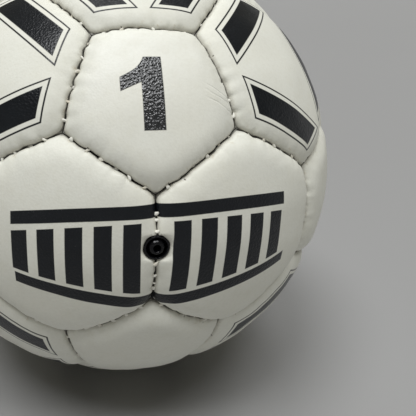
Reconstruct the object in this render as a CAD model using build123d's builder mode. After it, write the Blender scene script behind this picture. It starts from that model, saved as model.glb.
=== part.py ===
from build123d import *
import os
from math import acos, cos, degrees, floor, pi, sin, sqrt

# Size 1 handball: twelve pentagon and twenty hexagon panels sewn over a rubber bladder.
# The origin is the centre of the ball, +Z is up and the valve looks along -Y. Lengths are in millimetres.

# Cover
circumference = 510.0  # round the crowns of the panels
pentagon_edge = 31.9  # one sewn edge of a pentagon, on the ball's outer sphere
cover_thickness = 1.6  # coated cloth
seam_drop = 1.0  # rim of a panel below its crown
fold_radius = 2.0  # outside of the turned edge
seam_gap = 0.6  # between the turned edges of two neighbours
seam_depth = 4.8  # crown to the inner end of the turned edge

# Stitching
thread_diameter = 0.9
thread_clearance = 0.05  # in the holes, and behind the turned edges
stitch_depth = 3.6  # crown to the middle of the thread
stitch_pitch = 4.6
corner_margin = 3.2  # no stitch is nearer to a corner than this
valve_margin = 1.0  # nor nearer to the valve's neck than this

# Lining pads and bladder
lining_clearance = 0.1
bladder_clearance = 0.15
bladder_wall = 1.0
bond_line = 0.05  # adhesive between the bladder and the valve's flange

# Valve housing
valve_rise = 2.7  # above the middle of its seam
neck_diameter = 7.2
neck_recess = 0.6  # below the rims of the two panels beside it
neck_clearance = 0.2
rim_round = 0.35
flange_diameter = 24.0
flange_thickness = 1.3
barrel_wall = 1.6
barrel_floor = 1.2  # housing that runs on below the plug

# Valve plug
head_diameter = 5.5
head_height = 3.5
head_recess = 0.3  # below the neck's rim
waist_diameter = 4.0
waist_height = 3.0
bulb_diameter = 5.2
bulb_height = 3.4
tail_diameter = 3.6
tail_height = 2.2
plug_clearance = 0.05
dish_diameter = 4.4
dish_depth = 1.5
needle_diameter = 2.0
needle_depth = 8.0
slit_width = 2.6
slit_gap = 0.15

os.makedirs("parts", exist_ok=True)

ball_radius = circumference / (2 * pi)
rim_radius = ball_radius - seam_drop
turned_radius = ball_radius - seam_depth
stitch_radius = ball_radius - stitch_depth
bladder_radius = turned_radius - bladder_clearance
neck_radius = neck_diameter / 2
half_gap = seam_gap / 2
hole_side = thread_diameter + 2 * thread_clearance  # square holes, as an awl leaves them
block_floor = 0.7 * ball_radius  # below every panel and pad
cutter_length = 1.1 * ball_radius  # from the centre out through the cover
valve_angle = valve_rise / ball_radius


def export(part, name):
    part.label = name
    export_step(part, f"parts/{name}.step")


# Pentagons lie round the corners of an icosahedron, hexagons on the middles of its faces.
# The whole is tipped forward, so that the valve looks along -Y from above the middle of its seam.
golden = (1 + sqrt(5)) / 2
upright_axes = []
for front in (1, -1):
    for up in (1, -1):
        upright_axes.append(Vector(0, -front * golden, up))
        upright_axes.append(Vector(up, 0, front * golden))
        upright_axes.append(Vector(up * golden, -front, 0))
pentagon_axes = [axis.normalized().rotate(Axis.X, degrees(valve_angle)) for axis in upright_axes]
top_front = pentagon_axes[0]
low_front = pentagon_axes[3]


def neighbours(one, other):
    return abs(one.dot(other) - 1 / sqrt(5)) < 0.01


pentagon_pairs = []
pentagon_trios = []
for i, one in enumerate(pentagon_axes):
    for j in range(i + 1, 12):
        two = pentagon_axes[j]
        if neighbours(one, two):
            pentagon_pairs.append((one, two))
            for three in pentagon_axes[j + 1 :]:
                if neighbours(one, three) and neighbours(two, three):
                    pentagon_trios.append((one, two, three))

# The pentagon's edge sets how far along the line between two pentagon axes each corner lies.
edge_share = pentagon_edge / ball_radius
line_square = 2 - 2 / sqrt(5)
even = edge_share**2 * line_square
lead = line_square * (1 - edge_share**2)
corner_share = (sqrt(even**2 + 4 * lead * edge_share**2) - even) / (2 * lead)


def seam_corner(near, far):
    return (near * (1 - corner_share) + far * corner_share).normalized()


def angle_between(one, other):
    return acos(one.dot(other))


first, second, third = pentagon_trios[0]
hexagon_axis = (first + second + third).normalized()
short_seam = (seam_corner(first, second) + seam_corner(first, third)).normalized()
long_seam = (first + second).normalized()
short_half = angle_between(short_seam, seam_corner(first, second))
long_half = angle_between(long_seam, seam_corner(first, second))
pentagon_slopes = [angle_between(first, short_seam)] * 5
hexagon_slopes = [angle_between(hexagon_axis, long_seam), angle_between(hexagon_axis, short_seam)] * 3


def turned_plane(axis, toward):
    return Plane(origin=(0, 0, 0), x_dir=toward - axis * toward.dot(axis), z_dir=axis)


def seam_frame(slopes, k):
    """Middle of seam k of a panel on +Z, the way along the seam and the way into the panel."""
    turn = 2 * pi * k / len(slopes)
    tilt = slopes[k]
    middle = Vector(sin(tilt) * cos(turn), sin(tilt) * sin(turn), cos(tilt))
    along = Vector(-sin(turn), cos(turn), 0)
    return middle, along, along.cross(middle) * -1


def crowned_block(slopes, inset, depth, fold):
    """Block on +Z with seam sides that point at the ball's centre, a crowned top and folded edges."""
    crown_height = (ball_radius**2 - rim_radius**2) / (2 * (ball_radius - rim_radius * cos(slopes[-1])))
    crown_centre = Vector(0, 0, crown_height)
    crown_radius = ball_radius - crown_height - depth
    with BuildPart() as block:
        with Locations(crown_centre):
            Sphere(crown_radius)
        split(bisect_by=Plane.XY.offset(block_floor), keep=Keep.TOP)
        for k in range(len(slopes)):
            middle, along, inward = seam_frame(slopes, k)
            side = Plane(origin=inward * inset, z_dir=inward)
            split(bisect_by=side, keep=Keep.TOP)
            if fold > 0:
                behind = inward.dot(crown_centre) - inset
                foot = crown_centre - inward * behind
                rise = sqrt((crown_radius - fold) ** 2 - (behind - fold) ** 2)
                lean = Vector(fold - behind, rise).normalized() * 2 * fold
                with BuildSketch(Plane(origin=foot, x_dir=inward, z_dir=inward.cross(middle))):
                    with BuildLine():
                        Polyline(
                            (fold, rise),
                            (fold + lean.X, rise + lean.Y),
                            (-fold, rise + 2 * fold),
                            (-fold, rise),
                            close=True,
                        )
                    make_face()
                    with Locations((fold, rise)):
                        Circle(fold, mode=Mode.SUBTRACT)
                revolve(axis=Axis(foot, inward), mode=Mode.SUBTRACT)
    return block.part


def stitch_angles(half_angle):
    count = floor(2 * (half_angle * stitch_radius - corner_margin) / stitch_pitch) + 1
    return [(i - (count - 1) / 2) * stitch_pitch / stitch_radius for i in range(count)]


short_stitches = stitch_angles(short_half)
long_stitches = stitch_angles(long_half)
clear_of_valve = (neck_radius + valve_margin) / stitch_radius


def beside_valve(valve):
    """Stitches of the valve seam, when the valve lies at this angle from the seam's middle."""
    return [angle for angle in long_stitches if abs(angle - valve) > clear_of_valve]


def stitch_holes(slopes, stitches):
    places = []
    for k in range(len(slopes)):
        middle, along, inward = seam_frame(slopes, k)
        for angle in stitches[k]:
            spot = (middle * cos(angle) + along * sin(angle)) * stitch_radius
            places.append(Plane(origin=spot, x_dir=along, z_dir=inward))
    return places


def sewn_panel(slopes, stitches):
    """Cover panel: crowned face, edges folded in all round, and a row of thread holes in each fold."""
    outside = crowned_block(slopes, half_gap, 0, fold_radius)
    inside = crowned_block(slopes, half_gap + cover_thickness, cover_thickness, 0)
    with BuildPart() as panel:
        add(outside)
        add(inside, mode=Mode.SUBTRACT)
        Sphere(turned_radius, mode=Mode.SUBTRACT)
        with Locations(*stitch_holes(slopes, stitches)):
            Box(
                hole_side,
                hole_side,
                half_gap + cover_thickness + thread_clearance,
                align=(Align.CENTER, Align.CENTER, Align.MIN),
                mode=Mode.SUBTRACT,
            )
    return panel.part


def lining_pad(slopes):
    """Die-cut foam and cloth pad that fills a panel inside the thread, down to the bladder."""
    behind_thread = half_gap + cover_thickness + thread_diameter + 2 * thread_clearance
    under_cover = cover_thickness + lining_clearance
    block = crowned_block(slopes, behind_thread + lining_clearance, under_cover, 0)
    with BuildPart() as pad:
        add(block)
        Sphere(bladder_radius + lining_clearance, mode=Mode.SUBTRACT)
    return pad.part


def notched(piece, valve):
    """The same piece with room for the valve's neck in its first seam, at this angle from the middle."""
    middle, along, inward = seam_frame(hexagon_slopes, 0)
    outward = middle * cos(valve) + along * sin(valve)
    with BuildPart() as cut:
        add(piece)
        with Locations(Plane(origin=(0, 0, 0), x_dir=inward, z_dir=outward)):
            Cylinder(
                neck_radius + neck_clearance,
                cutter_length,
                align=(Align.CENTER, Align.CENTER, Align.MIN),
                mode=Mode.SUBTRACT,
            )
    return cut.part


def seam_thread(angles):
    """Running stitch of one seam on +Z along Y: it crosses at each hole and runs on behind the fold."""
    reach = half_gap + cover_thickness + thread_clearance + thread_diameter / 2
    points = []
    side = 1
    for angle in angles:
        y = stitch_radius * sin(angle)
        z = stitch_radius * cos(angle)
        points += [(-side * reach, y, z), (side * reach, y, z)]
        side = -side
    with BuildPart() as thread:
        with BuildLine():
            Polyline(*points)
        with BuildSketch(Plane(origin=points[0], z_dir=(1, 0, 0))):
            Circle(thread_diameter / 2)
        sweep(transition=Transition.RIGHT)
    return thread.part


# Cover panels and the pads behind them
pentagon_panel = sewn_panel(pentagon_slopes, [short_stitches] * 5)
hexagon_panel = sewn_panel(hexagon_slopes, [long_stitches, short_stitches] * 3)
plain_rows = [short_stitches] + [long_stitches, short_stitches] * 2
pentagon_pad = lining_pad(pentagon_slopes)
hexagon_pad = lining_pad(hexagon_slopes)

pentagon_planes = []
for axis in pentagon_axes:
    trio = [trio for trio in pentagon_trios if axis in trio][0]
    pentagon_planes.append(turned_plane(axis, trio[0] + trio[1] + trio[2]))
hexagon_planes = []
valve_planes = []
for trio in pentagon_trios:
    axis = (trio[0] + trio[1] + trio[2]).normalized()
    plane = turned_plane(axis, trio[0] + trio[1])
    if top_front in trio and low_front in trio:
        valve_planes.append(turned_plane(axis, top_front + low_front))
    else:
        hexagon_planes.append(plane)
valve_planes.sort(key=lambda plane: plane.z_dir.X)

for i, plane in enumerate(pentagon_planes, 1):
    with BuildPart(plane) as placed:
        add(pentagon_panel)
    export(placed.part, f"pentagon_panel_{i:02d}")
for i, plane in enumerate(hexagon_planes, 1):
    with BuildPart(plane) as placed:
        add(hexagon_panel)
    export(placed.part, f"hexagon_panel_{i:02d}")
valve_pads = []
for side, plane, valve in zip(("left", "right"), valve_planes, (valve_angle, -valve_angle)):
    valve_panel = sewn_panel(hexagon_slopes, [beside_valve(valve)] + plain_rows)
    with BuildPart(plane) as placed:
        add(notched(valve_panel, valve))
    export(placed.part, f"valve_panel_{side}")
    with BuildPart(plane) as placed_pad:
        add(notched(hexagon_pad, valve))
    valve_pads.append(placed_pad.part)

with BuildPart(*pentagon_planes) as pentagon_linings:
    add(pentagon_pad)
export(pentagon_linings.part, "pentagon_linings")
with BuildPart(*hexagon_planes) as hexagon_linings:
    add(hexagon_pad)
export(hexagon_linings.part, "hexagon_linings")
with BuildPart() as valve_linings:
    add(valve_pads)
export(valve_linings.part, "valve_linings")

# Thread: one node for the five seams round each pentagon, one for all seams between hexagons
short_thread = seam_thread(short_stitches)
long_thread = seam_thread(long_stitches)
upper_thread = seam_thread([angle for angle in beside_valve(-valve_angle) if angle < -valve_angle])
lower_thread = seam_thread([angle for angle in beside_valve(-valve_angle) if angle > -valve_angle])

ring_planes = []
for k in range(5):
    middle, along, inward = seam_frame(pentagon_slopes, k)
    ring_planes.append(Plane(origin=(0, 0, 0), x_dir=along.cross(middle), z_dir=middle))
with BuildPart(*ring_planes) as thread_ring:
    add(short_thread)
for i, plane in enumerate(pentagon_planes, 1):
    with BuildPart(plane) as placed:
        add(thread_ring.part)
    export(placed.part, f"pentagon_stitching_{i:02d}")

long_planes = []
for one, two in pentagon_pairs:
    middle = (one + two).normalized()
    plane = Plane(origin=(0, 0, 0), x_dir=(two - one).cross(middle), z_dir=middle)
    if one is top_front and two is low_front:
        valve_seam = plane
    else:
        long_planes.append(plane)
with BuildPart(*long_planes) as long_threads:
    add(long_thread)
with BuildPart(valve_seam) as valve_threads:
    add(upper_thread)
    add(lower_thread)
with BuildPart() as hexagon_stitching:
    add(long_threads.part)
    add(valve_threads.part)
export(hexagon_stitching.part, "hexagon_stitching")

# Bladder, open where the valve's neck comes out
with BuildPart() as bladder:
    Sphere(bladder_radius)
    Sphere(bladder_radius - bladder_wall, mode=Mode.SUBTRACT)
    with Locations(Plane(origin=(0, 0, 0), z_dir=(0, -1, 0))):
        Cylinder(
            neck_radius + bond_line,
            cutter_length,
            align=(Align.CENTER, Align.CENTER, Align.MIN),
            mode=Mode.SUBTRACT,
        )
export(bladder.part, "bladder")

# Valve levels, as distances from the ball's centre along -Y
neck_rim = rim_radius - neck_recess
plug_top = neck_rim - head_recess
head_end = plug_top - head_height
waist_end = head_end - waist_height
bulb_end = waist_end - bulb_height
tail_end = bulb_end - tail_height
barrel_end = tail_end - barrel_floor
flange_top = bladder_radius - bladder_wall - bond_line
barrel_radius = bulb_diameter / 2 + plug_clearance + barrel_wall
low_left = (Align.MIN, Align.MIN)


def plug_steps(spare):
    """Radius of each step of the plug with its two ends, widened by the spare room round it."""
    return [
        (head_diameter / 2 + spare, plug_top + spare, head_end - spare),
        (waist_diameter / 2 + spare, head_end, waist_end),
        (bulb_diameter / 2 + spare, waist_end + spare, bulb_end - spare),
        (tail_diameter / 2 + spare, bulb_end, tail_end - spare),
    ]


# Housing: neck through the seam, flange bonded inside the bladder, barrel round the plug
with BuildPart() as valve_housing:
    with BuildSketch() as section:
        Circle(flange_top)
        Circle(flange_top - flange_thickness, mode=Mode.SUBTRACT)
        with Locations((0, -ball_radius)):
            Rectangle(flange_diameter / 2, ball_radius, align=low_left, mode=Mode.INTERSECT)
        with Locations((0, -neck_rim)):
            Rectangle(neck_radius, neck_rim - flange_top + flange_thickness, align=low_left)
        fillet(section.vertices().group_by(Axis.Y)[0].sort_by(Axis.X)[-1], rim_round)
        with Locations((0, -flange_top + flange_thickness / 2)):
            Rectangle(barrel_radius, flange_top - flange_thickness / 2 - barrel_end, align=low_left)
        for radius, top, bottom in plug_steps(plug_clearance):
            with Locations((0, -top)):
                Rectangle(radius, top - bottom, align=low_left, mode=Mode.SUBTRACT)
        with Locations((0, -neck_rim)):
            Rectangle(head_diameter / 2 + plug_clearance, head_height, align=low_left, mode=Mode.SUBTRACT)
        with Locations((0, -tail_end)):
            Rectangle(tail_diameter / 2 + plug_clearance, 2 * barrel_floor, align=low_left, mode=Mode.SUBTRACT)
    revolve(axis=Axis.Y)
export(valve_housing.part, "valve_housing")

# Plug: dished head, locking bulb, needle hole that ends in a closed slit
with BuildPart() as valve_plug:
    with BuildSketch():
        for radius, top, bottom in plug_steps(0):
            with Locations((0, -top)):
                Rectangle(radius, top - bottom, align=low_left)
        with BuildLine():
            Polyline(
                (0, -plug_top),
                (dish_diameter / 2, -plug_top),
                (needle_diameter / 2, dish_depth - plug_top),
                (needle_diameter / 2, needle_depth - plug_top),
                (0, needle_depth - plug_top),
                close=True,
            )
        make_face(mode=Mode.SUBTRACT)
    revolve(axis=Axis.Y)
    with Locations((0, needle_depth - plug_top, 0)):
        slit_length = plug_top - needle_depth - tail_end
        Box(
            slit_gap,
            slit_length,
            slit_width,
            align=(Align.CENTER, Align.MIN, Align.CENTER),
            mode=Mode.SUBTRACT,
        )
export(valve_plug.part, "valve_plug")
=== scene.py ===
from itertools import combinations, permutations
from math import pi, radians

import bpy
import numpy as np
from mathutils import Matrix, Vector


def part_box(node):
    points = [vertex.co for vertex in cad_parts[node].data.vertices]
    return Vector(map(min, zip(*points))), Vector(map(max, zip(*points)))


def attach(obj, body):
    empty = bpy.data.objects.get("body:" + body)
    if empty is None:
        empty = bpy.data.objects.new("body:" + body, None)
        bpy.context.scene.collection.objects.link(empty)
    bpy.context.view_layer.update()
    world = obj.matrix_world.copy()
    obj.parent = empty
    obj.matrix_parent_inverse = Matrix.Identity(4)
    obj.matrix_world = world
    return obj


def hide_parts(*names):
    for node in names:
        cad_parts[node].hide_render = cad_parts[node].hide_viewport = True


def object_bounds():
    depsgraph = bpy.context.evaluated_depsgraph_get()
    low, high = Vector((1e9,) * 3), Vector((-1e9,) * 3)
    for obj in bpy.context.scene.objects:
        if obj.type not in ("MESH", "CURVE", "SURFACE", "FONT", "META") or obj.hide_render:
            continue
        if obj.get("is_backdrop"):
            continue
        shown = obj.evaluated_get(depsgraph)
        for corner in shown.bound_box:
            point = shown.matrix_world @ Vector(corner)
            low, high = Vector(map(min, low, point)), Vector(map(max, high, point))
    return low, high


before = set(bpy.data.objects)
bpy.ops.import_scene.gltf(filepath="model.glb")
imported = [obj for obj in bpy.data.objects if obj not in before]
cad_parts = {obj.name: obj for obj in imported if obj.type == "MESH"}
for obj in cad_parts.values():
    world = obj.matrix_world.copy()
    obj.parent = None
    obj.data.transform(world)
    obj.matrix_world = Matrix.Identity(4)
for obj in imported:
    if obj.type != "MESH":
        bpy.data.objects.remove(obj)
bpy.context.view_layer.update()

# Bladder: a black rubber bag under the cover, matt and faintly clouded from the mould.
# It is blown up through the valve and holds every other piece in tension.
MM = 0.001
bladder_black = (0.030, 0.030, 0.031, 1)
bladder_bloom = (0.048, 0.047, 0.046, 1)


class Wire:
    """A shader socket that takes part in sums; node() adds any other node beside it."""

    def __init__(self, tree, socket=None):
        self.tree = tree
        self.socket = socket

    def node(self, kind, settings=None, sockets=None, out=0):
        made = self.tree.nodes.new(kind)
        for name, value in (settings or {}).items():
            setattr(made, name, value)
        for name, value in (sockets or {}).items():
            if isinstance(value, Wire):
                self.tree.links.new(value.socket, made.inputs[name])
            else:
                made.inputs[name].default_value = value
        return Wire(self.tree, made.outputs[out] if made.outputs else None)

    def math(self, operation, *terms):
        return self.node("ShaderNodeMath", {"operation": operation}, dict(enumerate(terms)))

    def __add__(self, other):
        return self.math("ADD", self, other)

    def __radd__(self, other):
        return self.math("ADD", other, self)

    def __sub__(self, other):
        return self.math("SUBTRACT", self, other)

    def __rsub__(self, other):
        return self.math("SUBTRACT", other, self)

    def __mul__(self, other):
        return self.math("MULTIPLY", self, other)

    def __rmul__(self, other):
        return self.math("MULTIPLY", other, self)

    def __truediv__(self, other):
        return self.math("DIVIDE", self, other)

    def __abs__(self):
        return self.math("ABSOLUTE", self)

    def most(self, other):
        return self.math("MAXIMUM", self, other)

    def least(self, other):
        return self.math("MINIMUM", self, other)

    def rise(self, low, high):
        """0 below low, 1 above high, smooth between them."""
        settings = {"interpolation_type": "SMOOTHSTEP"}
        return self.node("ShaderNodeMapRange", settings, {0: self, 1: low, 2: high, 3: 0.0, 4: 1.0})

    def blend(self, first, second):
        """Colour that goes from first to second as this value goes from 0 to 1."""
        return self.node("ShaderNodeMix", {"data_type": "RGBA"}, {0: self, 6: first, 7: second}, out=2)


def finish_of(name):
    """A new material: its root wire, its object coordinates and a function that closes it."""
    material = bpy.data.materials.new(name)
    material.use_nodes = True
    tree = material.node_tree
    tree.nodes.clear()
    root = Wire(tree)
    place = root.node("ShaderNodeTexCoord", out="Object")

    def close(**sockets):
        named = {}
        for key, value in sockets.items():
            named[key.replace("_", " ").title().replace("Ior", "IOR")] = value
        shader = root.node("ShaderNodeBsdfPrincipled", None, named)
        root.node("ShaderNodeOutputMaterial", None, {"Surface": shader})
        return material

    return root, place, close


def noise(place, size_mm, detail=2.0, rough=0.5):
    return place.node(
        "ShaderNodeTexNoise",
        None,
        {"Vector": place, "Scale": 1 / (size_mm * MM), "Detail": detail, "Roughness": rough},
    )


def bump(height, depth_mm, strength):
    return height.node(
        "ShaderNodeBump",
        None,
        {"Height": height, "Distance": depth_mm * MM, "Strength": strength},
    )


def dress(piece, material):
    """Gives a piece its one finish."""
    piece.data.materials.clear()
    piece.data.materials.append(material)


root, place, close = finish_of("bladder_rubber")
cloud = noise(place, size_mm=14, detail=3)
speck = noise(place, size_mm=0.8)
bladder_rubber = close(
    base_color=cloud.rise(0.35, 0.7).blend(bladder_black, bladder_bloom),
    roughness=0.62 + 0.2 * speck,
    normal=bump(speck, depth_mm=0.05, strength=0.5),
)
dress(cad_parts["bladder"], bladder_rubber)

# Lining pads: foam backed with woven cloth, die-cut a little smaller than the panel in front of each.
# The cloth side looks at the bladder.
lining_shade = (0.55, 0.50, 0.38, 1)
lining_light = (0.74, 0.69, 0.56, 1)
weave_scale = 450.0  # a yarn about every 0.7 mm
root, place, close = finish_of("lining_cloth")
weave_sockets = {"Vector": place, "Scale": weave_scale}
warp = place.node("ShaderNodeTexWave", {"bands_direction": "X"}, weave_sockets)
weft = place.node("ShaderNodeTexWave", {"bands_direction": "Z"}, weave_sockets)
weave = warp.most(weft)
lining_cloth = close(
    base_color=weave.blend(lining_shade, lining_light),
    roughness=0.9 - 0.08 * weave,
    normal=bump(weave, depth_mm=0.12, strength=0.6),
)
for name in ("pentagon_linings", "hexagon_linings", "valve_linings"):
    dress(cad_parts[name], lining_cloth)

# Valve: a moulded black rubber neck that comes up through the seam, and the plug pressed into it.
# The neck's rim is rolled over and polished by handling.
# The plug's head is a small dome round the hole for the inflating needle.
ball_round = 0.510
ball_radius = ball_round / (2 * pi)
turning_facets = 96
turning_crease = radians(38)
valve_black = (0.002, 0.002, 0.003, 1)
valve_sheen = (0.005, 0.005, 0.006, 1)


def deselect():
    if bpy.context.mode != "OBJECT":
        bpy.ops.object.mode_set(mode="OBJECT")
    bpy.ops.object.select_all(action="DESELECT")


def turned(name, profile):
    """Rubber turning along -Y: rings of (radius, distance from the ball's centre), in millimetres."""
    deselect()
    radius, level = profile[0]
    bpy.ops.mesh.primitive_circle_add(
        vertices=turning_facets,
        radius=radius * MM,
        location=(0, -level * MM, 0),
        rotation=(pi / 2, 0, 0),
    )
    piece = bpy.context.object
    piece.name = name
    bpy.ops.object.transform_apply(location=True, rotation=True, scale=True)
    bpy.ops.object.mode_set(mode="EDIT")
    bpy.ops.mesh.select_all(action="SELECT")
    for next_radius, next_level in profile[1:]:
        step = (0, (level - next_level) * MM, 0)
        bpy.ops.mesh.extrude_edges_move(TRANSFORM_OT_translate={"value": step})
        share = next_radius / radius
        bpy.ops.transform.resize(value=(share, 1, share), center_override=(0, -next_level * MM, 0))
        radius, level = next_radius, next_level
    bpy.ops.mesh.select_all(action="SELECT")
    bpy.ops.mesh.remove_doubles(threshold=1e-7)
    bpy.ops.mesh.fill_holes(sides=0)
    bpy.ops.mesh.normals_make_consistent(inside=False)
    bpy.ops.object.mode_set(mode="OBJECT")
    bpy.ops.object.shade_smooth_by_angle(angle=turning_crease)
    return piece


# The neck's radii, and its depths below the rim, in millimetres: up the bore, over the lip and down outside
rim_sink = 0.95
neck_bore, neck_radius, lip_round = 2.85, 3.6, 0.28
flange_radius, tail_radius = 11.9, 4.2
bore_end, bore_round = 12, 0.5
flange_root, flange_top, flange_base = 4.6, 5.4, 6.4
tail_root, tail_end = 6.2, 13
rim_level = ball_radius / MM - rim_sink
neck_profile = [
    (neck_bore, rim_level - bore_end),
    (neck_bore, rim_level - bore_round),
    (neck_bore + 0.07, rim_level - 0.2),
    (neck_bore + 0.2, rim_level - 0.04),
]
lip_steps = 8
for step in range(lip_steps + 1):
    roll = pi / 2 * (1 - step / lip_steps)
    lip_radius = neck_radius - lip_round + lip_round * np.cos(roll)
    neck_profile.append((lip_radius, rim_level - lip_round + lip_round * np.sin(roll)))
neck_profile += [
    (neck_radius, rim_level - flange_root),
    (flange_radius, rim_level - flange_top),
    (flange_radius, rim_level - flange_base),
    (tail_radius, rim_level - tail_root),
    (tail_radius, rim_level - tail_end),
]
valve_rim = turned("valve_rim", neck_profile)

# The plug's radii, and its depths below its crown: up the needle's hole, over the dome and down outside
crown_rise = 0.45
needle_hole, head_radius, shank_radius = 1.0, 2.75, 2.0
dome_start, dome_width, dome_fall = 1.3, 1.4, 1.7
hole_end, hole_round = 9, 0.4
head_edge, head_base = 1.95, 4.3
shank_root, shank_end = 4.5, 10.9
crown_level = rim_level + crown_rise
plug_profile = [
    (needle_hole, crown_level - hole_end),
    (needle_hole, crown_level - hole_round),
    (needle_hole + 0.05, crown_level - 0.2),
    (needle_hole + 0.16, crown_level - 0.07),
]
dome_steps = 11
for step in range(dome_steps + 1):
    share = step / dome_steps
    plug_profile.append((dome_start + dome_width * share, crown_level - dome_fall * share**2))
plug_profile += [
    (head_radius, crown_level - head_edge),
    (head_radius, crown_level - head_base),
    (shank_radius, crown_level - shank_root),
    (shank_radius, crown_level - shank_end),
]
valve_core = turned("valve_core", plug_profile)

root, place, close = finish_of("valve_rubber")
handled = noise(place, size_mm=1.6, detail=3)
pores = noise(place, size_mm=0.25)
valve_rubber = close(
    base_color=handled.rise(0.4, 0.75).blend(valve_black, valve_sheen),
    roughness=0.12 + 0.14 * handled,
    specular_ior_level=0.25,
    normal=bump(pores, depth_mm=0.02, strength=0.25),
)
for piece, node in ((valve_rim, "valve_housing"), (valve_core, "valve_plug")):
    dress(piece, valve_rubber)
    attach(piece, "root")
    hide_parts(node)

# Pentagon panels: coated leather cloth with fine grain, cut to five sides and folded in all round.
# Air and foam push each one out into a dome; the thread pulls dents into its folded edge.
# The upper front one carries the size number, printed before the cloth is cut.
golden = (1 + 5**0.5) / 2
neighbour_cosine = 1 / 5**0.5
pentagon_edge = 31.9 * MM
valve_rise = 2.7 * MM

# The cloth: its dome at the rim, how deep its edge is turned in, and the mesh of the blank
rim_radius = ball_radius - 0.3 * MM
turned_radius = ball_radius - 4.75 * MM
cloth_wall = 1.45 * MM
cloth_cuts = 63
cloth_crease = radians(65)
ring_crowding = 1.5
face_layer, edge_layer, lip_layer, back_layer = 0, -1, -2, -3

# The slit between two panels, and how the edge rolls down to it
seam_half_gap = 0.17 * MM
seam_wander = 0.22 * MM
seam_fray = 0.06 * MM
seam_seed = 5
gap_power = 6
fold_width = 1.3 * MM
fold_depth = 0.8 * MM
roll_width = 7.5 * MM
roll_depth = 1.75 * MM
roll_power = 2.7
corner_depth = 1.05 * MM
corner_spread = 5.2 * MM
corner_softness = 0.6 * MM
swell_depth = 0.09 * MM
pucker_depth = 0.07 * MM
pucker_reach = 5 * MM

# Six stitches on each seam, with the least and most that one pulls the edge in
stitch_pitch = 4.6 * MM
stitch_offsets = [step * stitch_pitch for step in (-2.5, -1.5, -0.5, 0.5, 1.5, 2.5)]
stitch_pull = (0.1 * MM, 0.7 * MM)
dent_width = (0.5 * MM, 0.95 * MM)
dent_shift = (-0.4 * MM, 0.4 * MM)
dent_reach = 1.2 * MM
crease_reach = 3.6 * MM
crease_widening = 1.7
crease_share = 0.15

# The half-round notch of a valve panel, and how far round it the edge is glued flat
valve_clear = 4.6 * MM
notch_radius = 3.75 * MM
notch_half = 5.3 * MM
notch_ease = 4.2 * MM
notch_fade = 5 * MM
glued_fold, glued_reach = 0.72, 5.4 * MM
glued_roll, eased_reach = 0.7, 8.5 * MM


def unit(vector):
    return vector / np.linalg.norm(vector)


# The layout is tipped forward, so that the valve looks along -Y from above the middle of its seam
tip = Matrix.Rotation(valve_rise / ball_radius, 3, "X")
pentagon_axes = []
for front in (1, -1):
    for up in (1, -1):
        for axis in ((0, -front * golden, up), (up, 0, front * golden), (up * golden, -front, 0)):
            pentagon_axes.append(unit(np.array(tip @ Vector(axis))))

# Share of the way between two neighbouring axes at which a seam corner gives the pentagon its edge
edge_share = pentagon_edge / ball_radius
line_square = 2 - 2 * neighbour_cosine
even = edge_share**2 * line_square
lead = line_square * (1 - edge_share**2)
corner_share = ((even**2 + 4 * lead * edge_share**2) ** 0.5 - even) / (2 * lead)


def side_by_side(one, two):
    """Whether two pentagons are neighbours."""
    return abs(one @ two - neighbour_cosine) < 0.01


def seam_corner(near, far):
    return unit(near * (1 - corner_share) + far * corner_share)


def ordered(corners, axis):
    """Corners counter-clockwise as seen from outside, the first one kept first."""
    across = unit(corners[0] - axis * (corners[0] @ axis))
    over = np.cross(axis, across)
    return sorted(corners, key=lambda corner: np.arctan2(corner @ over, corner @ across) % (2 * pi - 1e-6))


def arc_beside(ways, pole):
    """Distance over the ball from the great circle square to the pole."""
    return np.arcsin(np.clip(ways @ pole, -1, 1)) * ball_radius


def arc_from(ways, spot):
    """Distance over the ball from one spot."""
    return np.arccos(np.clip(ways @ spot, -1, 1)) * ball_radius


def cut_blank(sides):
    """Flat cloth on XY with a corner at +Y; face, turned edge, lip and back are layers in z."""
    deselect()
    bpy.ops.mesh.primitive_circle_add(vertices=sides, radius=1, fill_type="TRIFAN")
    blank = bpy.context.object
    bpy.ops.object.mode_set(mode="EDIT")
    bpy.ops.mesh.select_mode(type="EDGE")
    bpy.ops.mesh.select_all(action="SELECT")
    bpy.ops.mesh.subdivide(number_cuts=cloth_cuts)
    bpy.ops.mesh.select_all(action="SELECT")
    bpy.ops.mesh.region_to_loop()
    for drop, share in ((1, 1), (1, 0.93), (1, 1), (0, 0.8), (0, 0.66), (0, 0.4)):
        bpy.ops.mesh.extrude_edges_move(TRANSFORM_OT_translate={"value": (0, 0, -drop)})
        bpy.ops.transform.resize(value=(share, share, 1), center_override=(0, 0, 0))
    bpy.ops.mesh.merge(type="CENTER")
    bpy.ops.mesh.select_all(action="SELECT")
    bpy.ops.mesh.normals_make_consistent(inside=False)
    bpy.ops.object.mode_set(mode="OBJECT")
    return blank


def copy_of(piece):
    """A copy with its own mesh, selected and active."""
    deselect()
    piece.select_set(True)
    bpy.context.view_layer.objects.active = piece
    bpy.ops.object.duplicate()
    return bpy.context.object


def points_of(piece):
    spots = np.empty(len(piece.data.vertices) * 3)
    piece.data.vertices.foreach_get("co", spots)
    return spots.reshape(-1, 3)


def put_points(piece, spots):
    piece.data.vertices.foreach_set("co", spots.ravel())
    piece.data.update()


def ripples(points, rng, count, shortest, longest):
    """Smooth seeded swell about zero, from waves between the two lengths."""
    swell = np.zeros(len(points))
    for _ in range(count):
        way = unit(rng.normal(size=3))
        length = rng.uniform(shortest, longest)
        swell += np.sin(points @ way * (2 * pi / length) + rng.uniform(0, 2 * pi))
    return swell / count**0.5


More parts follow.
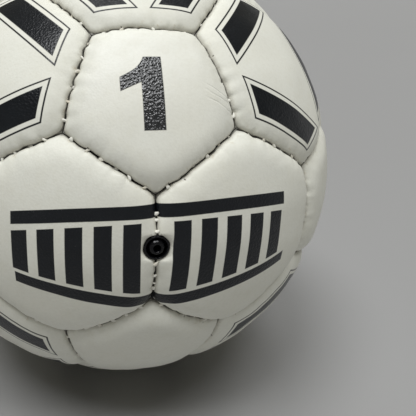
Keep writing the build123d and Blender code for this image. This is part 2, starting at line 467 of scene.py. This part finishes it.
def blank_places(panel, sides):
    """Each point's layer, wedge of the blank, share of the way out to the rim and share along that side."""
    flat = points_of(panel)
    layer = np.rint(flat[:, 2])
    turn = 2 * pi / sides
    angle = (np.arctan2(flat[:, 1], flat[:, 0]) - pi / 2) % (2 * pi)
    wedge = np.minimum((angle / turn).astype(int), sides - 1)
    reach = np.hypot(flat[:, 0], flat[:, 1])
    within = angle - wedge * turn
    first = reach * np.sin(turn - within) / np.sin(turn)
    second = reach * np.sin(within) / np.sin(turn)
    out = np.clip(first + second, 0, 1)
    along = np.where(out > 1e-9, second / np.maximum(first + second, 1e-9), 0.5)
    out = np.where(layer == face_layer, 1 - (1 - out) ** ring_crowding, out)
    return layer, wedge, out, along


def parted_at_valve(ways, inward, run, beside, reach):
    """Points beside the valve after their seam parts in a half round for the neck."""
    turn = np.clip(beside / notch_half, -1, 1) * pi / 2
    further = np.clip((np.abs(beside) - notch_half) / notch_ease, 0, 1)
    moved = np.sign(beside) * (notch_radius + further * (notch_half + notch_ease - notch_radius))
    moved = np.where(np.abs(beside) < notch_half, notch_radius * np.sin(turn), moved)
    moved = np.where(np.abs(beside) < notch_half + notch_ease, moved, beside)
    fade = np.exp(-((reach / notch_fade) ** 2))
    push = (notch_radius - seam_half_gap) * np.cos(turn) * fade
    slide = (moved - beside) * fade
    ways = ways + (inward * push[:, None] + run * slide[:, None]) / ball_radius
    return ways / np.linalg.norm(ways, axis=1)[:, None]


def glued_at_valve(from_valve, fold, roll):
    """Height that the cover keeps round the valve, where its edge is cut and glued down, not folded."""
    flat_edge = glued_fold * fold * np.exp(-((from_valve / glued_reach) ** 6))
    return flat_edge + glued_roll * roll * np.exp(-((from_valve / eased_reach) ** 2))


def lay_print(panel, ways, axis, print_up):
    """Print coordinates in millimetres from the panel's middle."""
    upright = unit(print_up - axis * (print_up @ axis))
    rightward = np.cross(upright, axis)
    bend = np.arccos(np.clip(ways @ axis, -1, 1))
    stretch = ball_radius / MM * bend / np.maximum(np.sin(bend), 1e-9)
    printed = np.stack([stretch * (ways @ rightward), stretch * (ways @ upright)], axis=1)
    corner_of = np.empty(len(panel.data.loops), int)
    panel.data.loops.foreach_get("vertex_index", corner_of)
    layer = panel.data.uv_layers.new(name="print")
    layer.data.foreach_set("uv", printed[corner_of].ravel())


def sewn_panel(blank, node, axis, corners, print_up, rng, notch=None):
    """A copy of the blank drawn over the ball between its corners, folded, domed and dented by stitches."""
    panel = copy_of(blank)
    panel.name = node.replace("panel", "cover")
    sides = len(corners)
    layer, wedge, out, along = blank_places(panel, sides)
    inward = [unit(np.cross(c, n)) for c, n in zip(corners, corners[1:] + corners[:1])]
    middles = [unit(c + n) for c, n in zip(corners, corners[1:] + corners[:1])]
    runs = [np.cross(middle, side) for middle, side in zip(middles, inward)]

    # The rim, in the plane that touches the ball at the panel's middle
    over = unit(corners[0] - axis * (corners[0] @ axis))
    across = np.cross(over, axis)
    spread = np.array([[c @ across / (c @ axis), c @ over / (c @ axis)] for c in corners])
    follow = np.roll(spread, -1, axis=0)
    rim_spot = (1 - along)[:, None] * spread[wedge] + along[:, None] * follow[wedge]
    rim_ways = rim_spot[:, :1] * across + rim_spot[:, 1:] * over + axis
    rim_ways *= ball_radius / np.linalg.norm(rim_ways, axis=1)[:, None]

    # A seam wanders alike for both its panels, and each edge opens and frays by itself
    slanting = np.array([0.31, 0.47, 0.83])
    seam_side = np.sign(np.array(inward) @ slanting)[wedge]
    calm = np.sin(pi * along) ** 0.5
    seam_rng = np.random.default_rng(seam_seed)
    wander = seam_side * ripples(rim_ways, seam_rng, count=12, shortest=4 * MM, longest=13 * MM) * calm
    opening = 1 + 0.5 * ripples(rim_ways, rng, count=9, shortest=3 * MM, longest=9 * MM) * calm
    frayed = ripples(rim_ways, rng, count=9, shortest=1.5 * MM, longest=3 * MM) * calm
    gap = seam_half_gap * opening + seam_wander * wander + seam_fray * frayed
    apothem = np.array([np.tan(np.arcsin(axis @ side)) for side in inward])
    held_in = out * (1 - gap / ball_radius / apothem[wedge] * out**gap_power)
    spot = held_in[:, None] * rim_spot
    ways = spot[:, :1] * across + spot[:, 1:] * over + axis
    ways /= np.linalg.norm(ways, axis=1)[:, None]

    # Fold, roll and corners go by the distance from the rim, softened where two sides meet
    reaches = np.array([arc_beside(ways, side) for side in inward])
    nearest = -corner_softness * np.log(np.exp(-reaches / corner_softness).sum(axis=0))
    edge = np.clip(nearest - gap, 0, None)
    steep = np.clip(1 - edge / fold_width, 0, 1)
    fold = fold_depth * (1 - np.sqrt(1 - steep**2))
    roll = roll_depth * np.clip(1 - edge / roll_width, 0, 1) ** roll_power
    from_corner = np.min([arc_from(ways, corner) for corner in corners], axis=0)
    drop = fold + roll + corner_depth * np.exp(-((from_corner / corner_spread) ** 2))

    # Each stitch pulls a dent into the edge and a faint crease into the cloth behind it
    places = np.array([arc_beside(ways, run) for run in runs])
    open_side = int(np.argmax([middle @ notch for middle in middles])) if notch is not None else None
    for side in range(sides):
        for offset in stitch_offsets:
            if side == open_side and abs(offset - arc_beside(notch, runs[side])) < valve_clear:
                continue
            pull = rng.uniform(*stitch_pull)
            width = rng.uniform(*dent_width)
            shift = rng.uniform(*dent_shift)
            off_stitch = (places[side] - offset - shift) / width
            dent = np.exp(-(off_stitch**2) - (reaches[side] / dent_reach) ** 2)
            crease = np.exp(-((off_stitch / crease_widening) ** 2) - (reaches[side] / crease_reach) ** 2)
            drop += pull * (dent + crease_share * crease)

    # Dome, slow swell of the foam and short puckers beside the seams
    slope = max(np.arccos(axis @ middle) for middle in middles)
    crown = (ball_radius**2 - rim_radius**2) / (2 * (ball_radius - rim_radius * np.cos(slope)))
    cosine = np.clip(ways @ axis, -1, 1)
    dome = crown * cosine + np.sqrt((ball_radius - crown) ** 2 - crown**2 * (1 - cosine**2))
    spots = ways * ball_radius
    swell = swell_depth * ripples(spots, rng, count=14, shortest=10 * MM, longest=26 * MM)
    pucker = pucker_depth * ripples(spots, rng, count=14, shortest=3.2 * MM, longest=7 * MM)
    height = dome - drop + (1 - steep) * (swell + pucker * np.exp(-edge / pucker_reach))

    # The valve's seam parts round the neck
    if notch is not None:
        beside = places[open_side] - arc_beside(notch, runs[open_side])
        ways = parted_at_valve(ways, inward[open_side], runs[open_side], beside, reaches[open_side])
        height += glued_at_valve(arc_from(ways, notch), fold, roll)

    # The back lies a cloth's wall below the face, and the edge reaches down to its turned lip
    height = np.where(layer == back_layer, height - cloth_wall, height)
    height = np.where((layer == edge_layer) | (layer == lip_layer), turned_radius, height)
    put_points(panel, ways * height[:, None])
    lay_print(panel, ways, axis, print_up)
    for name, values in (("seam_distance", edge), ("seam_run", places[wedge, np.arange(len(wedge))])):
        kept = panel.data.attributes.new(name, "FLOAT", "POINT")
        kept.data.foreach_set("value", values / MM)
    panel.data.update()
    bpy.ops.object.shade_smooth_by_angle(angle=cloth_crease)
    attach(panel, "root")
    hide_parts(node)
    return panel


cream = (0.805, 0.805, 0.727, 1)
cream_aged = (0.785, 0.780, 0.695, 1)
cream_handled = (0.735, 0.725, 0.620, 1)
cream_pores = (0.64, 0.63, 0.54, 1)
old_glue = (0.47, 0.37, 0.22, 1)
seam_painted_shade = (0.30, 0.275, 0.225, 1)
slit_dust_and_painted_shade = (0.050, 0.044, 0.036, 1)
hole_painted_shade = (0.10, 0.08, 0.06, 1)
torn_white = (0.86, 0.85, 0.80, 1)
ink_black = (0.004, 0.005, 0.007, 1)
ink_worn = (0.009, 0.011, 0.014, 1)
grain_size = 0.66 * MM
hole_inset_mm = 0.45
crease_slope, crease_middle_mm = 0.45, 19.0


def cover_finish(name, ink_of=None, gloss=0.3, relief=2.5, polish=0.26, creases=()):
    """Cream coated cloth with grain, with old glue and painted shade at the seams; ink_of(x, y) gives the
    print.
    """
    root, place, close = finish_of(name)
    spot = root.node("ShaderNodeUVMap", {"uv_map": "print"})
    x = root.node("ShaderNodeSeparateXYZ", None, {"Vector": spot}, out="X")
    y = root.node("ShaderNodeSeparateXYZ", None, {"Vector": spot}, out="Y")
    seam = root.node("ShaderNodeAttribute", {"attribute_name": "seam_distance"}, out="Fac")
    run = root.node("ShaderNodeAttribute", {"attribute_name": "seam_run"}, out="Fac")

    # Grain, and the coating's cream with its aged and handled parts and its pores
    cells = root.node(
        "ShaderNodeTexVoronoi",
        {"feature": "SMOOTH_F1"},
        {"Vector": place, "Scale": 1 / grain_size, "Smoothness": 0.5},
    )
    grain = 0.75 * cells + 0.3 * noise(place, size_mm=0.35, detail=3, rough=0.6)
    mottle = noise(place, size_mm=5, detail=4, rough=0.6)
    pores = noise(place, size_mm=0.9, rough=0.6)
    leather = noise(place, size_mm=22).rise(0.35, 0.7).blend(cream, cream_aged)
    leather = (0.35 * mottle.rise(0.45, 0.75)).blend(leather, cream_handled)
    leather = (0.16 * pores.rise(0.4, 0.7)).blend(leather, cream_pores)

    # Glue in patches beside the seam, painted shade along the fold, and dust with painted shade in the slit
    glue = (1 - seam.rise(0.2, 2.4)) * noise(place, size_mm=2.6, detail=3, rough=0.65).rise(0.58, 0.74)
    leather = (0.5 * glue).blend(leather, old_glue)
    # painted shade: the fold darkens towards the slit, as if shaded by the next panel's bulge
    leather = (0.34 * (1 - seam.rise(0.15, 1.05))).blend(leather, seam_painted_shade)
    # dust and painted shade: a near-black line at the slit stands in for the shadow down in the gap
    slit_dust_and_shade = (1 - seam.rise(0.0, 0.2)) * (0.55 + 0.45 * noise(place, size_mm=1.2, detail=3).rise(0.3, 0.7))
    leather = (0.9 * slit_dust_and_shade).blend(leather, slit_dust_and_painted_shade)

    # Needle holes beside the seam, darkened with painted shade, with the coating torn up round some of them
    pitch_mm = stitch_pitch / MM
    stray = noise(place, size_mm=2.2, detail=1) - 0.5
    step = (run.math("FRACT", run / pitch_mm) - 0.5) * pitch_mm + 2.2 * stray
    aside = seam - hole_inset_mm - stray
    from_hole = step.math("SQRT", step * step + aside * aside)
    present = noise(place, size_mm=3.1, detail=1).rise(0.63, 0.67)
    hole = (1 - from_hole.rise(0.16, 0.36)) * present
    ragged = noise(place, size_mm=0.5).rise(0.45, 0.6)
    torn = (1 - from_hole.rise(0.45, 0.95)) * ragged * present * (1 - hole)
    # painted shade: each needle hole is darkened the way its recess would be shaded
    leather = (0.85 * hole).blend(leather, hole_painted_shade)
    leather = (0.8 * torn).blend(leather, torn_white)
    rough = 0.50 + 0.12 * mottle + 0.2 * torn
    height = grain + 2.2 * torn - 3.0 * hole

    # Short creases that slope down to the right, each through its own level
    for level in creases:
        waver = 1.2 * (noise(place, size_mm=4, detail=1) - 0.5)
        off_line = abs(y - level + crease_slope * (x - crease_middle_mm) + waver)
        height = height - 2.6 * (1 - off_line.rise(0.05, 0.42)) * x.rise(13.5, 17.5)

    # Ink lies glossy over the coating and is worn thin in specks
    if ink_of is not None:
        thin = noise(place, size_mm=0.7).rise(0.78, 0.84)
        ink = ink_of(x, y) * (1 - 0.35 * thin) * (1 - torn)
        leather = ink.blend(leather, mottle.blend(ink_black, ink_worn))
        rough = rough - ink * polish
        height = height * (1 + relief * ink)
    return close(
        base_color=leather,
        roughness=rough,
        specular_ior_level=gloss,
        normal=bump(height, depth_mm=0.06, strength=0.6),
    )


def ink_within(distance):
    """Full ink where a shape's signed distance is below zero, with a soft quarter-millimetre edge."""
    half_edge = 0.12
    return 1 - distance.rise(-half_edge, half_edge)


def numeral_one(x, y):
    """Size number: an upright stem with a slanted flag and a hollowed brow, in millimetres."""
    stem_middle, stem_half, foot, head = -0.25, 2.95, -9.85, 11.1
    flag_tip, flag_root, flag_low, flag_slope = -9.0, -1.75, 1.15, 0.41
    brow_end, brow_slope, brow_fall, brow_curve = -2.2, 0.45, 2.8, 1.35
    stem = (abs(x - stem_middle) - stem_half).most(foot - y)
    flag = (x - flag_root).most(flag_tip - x).most(flag_low + flag_slope * (x - flag_tip) - y)
    inward = x - brow_end
    brow = head + brow_slope * inward - brow_fall * (1 - inward.math("EXPONENT", inward / brow_curve))
    return ink_within(stem.least(flag).most(y - brow).most(y - head))


def node_at(axis, names):
    """The CAD node whose box lies farthest along the axis."""

    def along_axis(name):
        low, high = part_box(name)
        return unit(np.array(low + high) / 2) @ axis

    return max(names, key=along_axis)


plain_cover = cover_finish("cover_plain")
number_cover = cover_finish(
    "cover_number", numeral_one, gloss=1.0, relief=9.0, polish=0.32, creases=(1.4, -0.3, -2.3)
)
number_panel = "pentagon_panel_01"
pentagon_seed = 100
upward = np.array([0, 0, 1.0])
pentagon_blank = cut_blank(5)
pentagon_names = [f"pentagon_panel_{i:02d}" for i in range(1, 13)]
pentagon_seats = {}
for i, axis in enumerate(pentagon_axes):
    node = node_at(axis, pentagon_names)
    near_ones = [other for other in pentagon_axes if side_by_side(axis, other)]
    corners = ordered([seam_corner(axis, other) for other in near_ones], axis)
    pentagon_seats[node] = corners
    rng = np.random.default_rng(pentagon_seed + i)
    panel = sewn_panel(pentagon_blank, node, axis, corners, upward, rng)
    dress(panel, number_cover if node == number_panel else plain_cover)
bpy.data.objects.remove(pentagon_blank)

# Hexagon panels: the same cloth with three long and three short sides, printed before it is cut.
# Each long side has a plain black bar beside it, with a pale border and a fine outline.
# The print's sizes are in millimetres from the panel's middle.
bar_out, bar_half_width, bar_half_length = 19.4, 4.0, 15.0
bar_border, outline_half = 1.5, 0.25
mitre_aside, mitre_out = 0.87, 0.5


def three_bars(x, y):
    """Bars square to the directions of the three long seams, which lie a third of a turn apart from +Y."""
    far = x.math("SQRT", x * x + y * y)
    turn = x.math("ARCTAN2", x, y)
    folded = turn.math("PINGPONG", turn + 2 * pi, pi / 3)
    out = far * folded.math("COSINE", folded) - bar_out
    aside = far * folded.math("SINE", folded) - bar_half_length
    bar = (abs(out) - bar_half_width).most(mitre_aside * aside + mitre_out * out)
    outline = abs(bar - bar_border) - outline_half
    return ink_within(bar).most(ink_within(outline))


def hexagon_corners(trio, axis):
    return ordered([seam_corner(near, far) for near, far in permutations(trio, 2)], axis)


bar_cover = cover_finish("cover_bars", three_bars)
hexagon_seed = 200
hexagon_blank = cut_blank(6)
hexagon_names = [f"hexagon_panel_{i:02d}" for i in range(1, 19)] + ["valve_panel_left", "valve_panel_right"]
trios = []
for trio in combinations(pentagon_axes, 3):
    if all(side_by_side(one, two) for one, two in combinations(trio, 2)):
        trios.append(trio)
valve_trios = []
for i, trio in enumerate(trios):
    axis = unit(sum(trio))
    node = node_at(axis, hexagon_names)
    if node.startswith("valve"):
        valve_trios.append((node, axis, trio))
        continue
    toward_seam = trio[0] + trio[1]
    rng = np.random.default_rng(hexagon_seed + i)
    panel = sewn_panel(hexagon_blank, node, axis, hexagon_corners(trio, axis), toward_seam, rng)
    dress(panel, bar_cover)

# Valve panels: two hexagons whose shared upright seam parts round the valve's neck.
# A black band is printed over both: a bar above, a bar below, and a ladder of plain blocks between them.
# The print's sizes are in millimetres, away from the seam and up from the panel's middle.
valve_way = np.array([0, -1.0, 0])
valve_seed = 300
valve_seam_mm = 29.6
top_level, top_half, top_bow = 13.15, 1.9, 0.00233
low_level, low_half, low_climb, low_taper = -16.55, 2.2, 0.187, 0.012
block_pitch, block_start, block_middle, block_half = 7.9, 4.4, 2.5, 2.45
first_block, last_block = 3.4, 43.4
space_above, space_below, space_growth = 2.95, 3.6, 0.02


def band_finish(name, side):
    """One valve panel, printed by the distance from its seam; side is 1 right of it and -1 left."""
    top_lean, top_reach, low_reach = (0.057, 41.9, 44.2) if side > 0 else (0.0, 41.0, 40.5)

    def band(x, y):
        away = valve_seam_mm + side * x
        top_middle = top_level + top_lean * away - top_bow * away * away
        top = (abs(y - top_middle) - top_half).most(away - top_reach)
        low_middle = low_level + low_climb * away
        low = (abs(y - low_middle) - (low_half - low_taper * away)).most(away - low_reach)
        cell = away.math("FRACT", (away - block_start) / block_pitch) * block_pitch
        block = (abs(cell - block_middle) - block_half).most(away - last_block).most(first_block - away)
        ceiling = top_middle - space_above - space_growth * away
        bottom = low_middle + space_below - space_growth * away
        block = block.most(y - ceiling).most(bottom - y)
        return ink_within(top.least(low).least(block))

    return cover_finish(name, band)


for i, (node, axis, trio) in enumerate(valve_trios):
    rng = np.random.default_rng(valve_seed + i)
    corners = hexagon_corners(trio, axis)
    panel = sewn_panel(hexagon_blank, node, axis, corners, upward, rng, notch=valve_way)
    side = 1 if node == "valve_panel_right" else -1
    dress(panel, band_finish(node.replace("valve_panel", "cover"), side))
bpy.data.objects.remove(hexagon_blank)

# Seam thread: white waxed two-ply thread that crosses each seam six times and runs on behind the folds.
# Between stitches only the dark slit shows; where it crosses, it lies in a dent.
# The valve's seam is sewn in two lengths, with a few doubled stitches to hold the parted edges.
thread_radius = 0.41 * MM
thread_flatness = 0.72
thread_twist = 1.1
thread_lean = 0.35 * MM
thread_reach = 2.4 * MM
hole_radius = ball_radius - 3.6 * MM
crossing_lift = 1.2 * MM

# One crossing from hole to hole, as shares of the thread's reach and of the lift
crossing_shape = ((-1, 0), (-0.28, 0.4), (-0.1, 1), (0.1, 1), (0.28, 0.4), (1, 0))

# Stitches show more often, and stand higher, near the valve; the others are pulled in below the folds
corner_follow = 0.9
stitch_hold = 1.3 * MM
slit_hold = 1.2 * MM
handled_reach = 0.62 * ball_radius
shown_anywhere, shown_near_valve = 0.2, 0.65
shown_lift = (-0.6 * MM, 0.05 * MM)
hidden_lift = (-1.2 * MM, -0.8 * MM)
valve_lift = 0.4 * MM
stitch_shift = (-0.4 * MM, 0.4 * MM)
stitch_spread = (0.0, 0.9)
stitch_slant = (-0.9, 0.9)
doubled_above = (4.4 * MM, 7.4 * MM)
doubled_below = (-12.2 * MM,)
thread_white = (0.80, 0.79, 0.72, 1)
thread_soil = (0.62, 0.57, 0.46, 1)

root, place, close = finish_of("waxed_thread")
fibre = noise(place, size_mm=0.22, detail=3, rough=0.6)
soil = noise(place, size_mm=6, detail=3)
waxed_thread = close(
    base_color=soil.rise(0.48, 0.75).blend(thread_white, thread_soil),
    roughness=0.55 + 0.25 * fibre,
    normal=bump(fibre, depth_mm=0.08, strength=0.8),
)


def running_thread(name, offsets):
    """Running stitch of one seam on +Z along Y, about the ball's centre."""
    deselect()
    bpy.ops.curve.primitive_nurbs_circle_add(radius=thread_radius)
    section = bpy.context.object
    section.data.resolution_u = 2
    bpy.ops.transform.resize(value=(1, thread_flatness, 1))
    bpy.ops.object.transform_apply(location=True, rotation=True, scale=True)
    deselect()
    bpy.ops.curve.primitive_nurbs_path_add()
    thread = bpy.context.object
    thread.name = name
    thread.location = (0, 0, 0)
    points = []
    side = 1
    for offset in offsets:
        turn = offset / hole_radius
        for share, lift in crossing_shape:
            level = hole_radius + lift * crossing_lift
            lean = thread_lean * share
            points.append((side * share * thread_reach, level * np.sin(turn) + lean, level * np.cos(turn)))
        side = -side
    spline = thread.data.splines[0]
    spline.points.add(len(points) - len(spline.points))
    for i, (point, spot) in enumerate(zip(spline.points, points)):
        point.co = (*spot, 1)
        point.tilt = thread_twist * i
    spline.order_u = 3
    spline.use_endpoint_u = True
    spline.resolution_u = 3
    thread.data.bevel_mode = "OBJECT"
    thread.data.bevel_object = section
    thread.data.use_fill_caps = True
    bpy.ops.object.convert(target="MESH")
    bpy.data.objects.remove(section)
    thread = bpy.context.object
    bpy.ops.object.shade_smooth()
    return thread


def sewn(thread, middle, along, half_seam, rng, valve_place=None):
    """A copy of the thread laid in one seam, each stitch a little higher, lower or aside."""
    laid = copy_of(thread)
    spots = points_of(laid)
    near_valve = np.exp(-((arc_from(middle, valve_way) / handled_reach) ** 2))
    to_corner = half_seam - np.abs(spots[:, 1])
    spots[:, 2] -= corner_follow * corner_depth * np.exp(-((to_corner / corner_spread) ** 2))
    if valve_place is not None:
        spots[:, 2] += glued_at_valve(np.abs(spots[:, 1] - valve_place), fold_depth, roll_depth)
    for offset in stitch_offsets:
        here = np.exp(-(((spots[:, 1] - offset) / stitch_hold) ** 2))
        centred = np.exp(-((spots[:, 0] / slit_hold) ** 2))
        shows = rng.uniform() < shown_anywhere + shown_near_valve * near_valve
        lift = rng.uniform(*shown_lift) + valve_lift * near_valve if shows else rng.uniform(*hidden_lift)
        spots[:, 2] += here * centred * lift
        spots[:, 1] += here * centred * (spots[:, 1] - offset) * rng.uniform(*stitch_spread)
        spots[:, 1] += here * rng.uniform(*stitch_shift)
        spots[:, 1] += here * spots[:, 0] * rng.uniform(*stitch_slant)
    across = np.cross(along, middle)
    put_points(laid, spots[:, :1] * across + spots[:, 1:2] * along + spots[:, 2:] * middle)
    return laid


def gathered(pieces, name, node):
    """Joins the threads of one node into one piece."""
    deselect()
    for piece in pieces:
        piece.select_set(True)
    bpy.context.view_layer.objects.active = pieces[0]
    bpy.ops.object.join()
    whole = bpy.context.object
    whole.name = name
    dress(whole, waxed_thread)
    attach(whole, "root")
    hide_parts(node)


thread_seed = 7
thread_rng = np.random.default_rng(thread_seed)
long_run = running_thread("seam_thread_master", stitch_offsets)
for name in pentagon_names:
    corners = pentagon_seats[name]
    laid = []
    for one, two in zip(corners, corners[1:] + corners[:1]):
        laid.append(sewn(long_run, unit(one + two), unit(two - one), arc_from(one, two) / 2, thread_rng))
    gathered(laid, name.replace("panel", "thread"), name.replace("panel", "stitching"))
laid = []
for one, two in combinations(pentagon_axes, 2):
    if not side_by_side(one, two):
        continue
    middle, along = unit(one + two), unit(one - two)
    half_seam = arc_from(middle, seam_corner(one, two))
    if arc_from(middle, valve_way) > valve_clear:
        laid.append(sewn(long_run, middle, along, half_seam, thread_rng))
        continue
    valve_place = arc_beside(valve_way, along)
    for side, doubled in ((1, doubled_above), (-1, doubled_below)):
        offsets = [offset for offset in stitch_offsets if side * (offset - valve_place) > valve_clear]
        offsets = sorted(offsets + [valve_place + extra for extra in doubled])
        short_run = running_thread("valve_thread", offsets)
        laid.append(sewn(short_run, middle, along, half_seam, thread_rng, valve_place))
        bpy.data.objects.remove(short_run)
gathered(laid, "hexagon_thread", "hexagon_stitching")
bpy.data.objects.remove(long_run)

# Stage: a plain grey sweep, flat under the ball and rising gently far from it, so that no edge shows.
# Two soft lamps overhead, a weak one behind and a dim room light it.
visual_low, visual_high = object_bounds()
floor_side, floor_cells = 12, 100
flat_reach = 1.0
sweep_rise = 19.0
floor_grey = (0.303, 0.302, 0.301, 1)
floor_pale = (0.319, 0.318, 0.317, 1)
lamp_tint = (0.975, 0.985, 1.0)
room_tint = (1.0, 0.97, 0.80, 1)
room_strength = 0.155
deselect()
bpy.ops.mesh.primitive_grid_add(
    x_subdivisions=floor_cells,
    y_subdivisions=floor_cells,
    size=floor_side,
    location=(0, 0, visual_low[2]),
)
floor = bpy.context.object
floor.name = "table_top"
spots = points_of(floor)
beyond = np.maximum(np.hypot(spots[:, 0], spots[:, 1]) - flat_reach, 0)
spots[:, 2] += beyond**2 / sweep_rise
put_points(floor, spots)
bpy.ops.object.shade_smooth()
root, place, close = finish_of("table_grey")
haze = noise(place, size_mm=900)
dress(floor, close(base_color=haze.blend(floor_grey, floor_pale), roughness=0.45))
floor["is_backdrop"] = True

for name, way, spread, power in (
    ("lamp_left", (-0.287, -0.241, 0.927), 25, 1.87),
    ("lamp_right", (0.19, -0.26, 0.947), 25, 1.14),
    ("lamp_behind", (0, 0.5, 0.866), 30, 0.46),
):
    bpy.ops.object.light_add(type="SUN", location=way)
    lamp = bpy.context.object
    lamp.name = name
    lamp.data.angle = radians(spread)
    lamp.data.energy = power
    lamp.data.color = lamp_tint
    lamp.rotation_euler = Vector(way).to_track_quat("Z", "Y").to_euler()

world = bpy.data.worlds.new("room")
world.use_nodes = True
room = world.node_tree.nodes["Background"]
room.inputs["Color"].default_value = room_tint
room.inputs["Strength"].default_value = room_strength
bpy.context.scene.world = world
bpy.context.scene.view_settings.view_transform = "Standard"

# Camera: a hand-held view from a little above the valve, near enough to crop the ball at the left and top.
# Its axes and its place, in ball radii, are given in the layout before that is tipped.
photo_side_pixels = 416
focal_pixels = 526.7
film_width = 36
view_right = Vector((0.9906, -0.1355, 0.0161)).normalized()
view_forward = Vector((0.1339, 0.9425, -0.3062))
view_forward = (view_forward - view_right * view_forward.dot(view_right)).normalized()
view_up = view_right.cross(view_forward)
eye = Vector((-0.3536, -2.5111, 0.9094)) * ball_radius
bpy.ops.object.camera_add()
camera = bpy.context.object
stance = Matrix((view_right, view_up, -view_forward)).transposed().to_4x4()
stance.translation = eye
camera.matrix_world = tip.to_4x4() @ stance
camera.data.sensor_width = film_width
camera.data.lens = film_width * focal_pixels / photo_side_pixels
camera.data.shift_x = 0.2163
camera.data.shift_y = -0.1635
camera.data.clip_start = 0.01
bpy.context.scene.camera = camera

visual_low, visual_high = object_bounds()
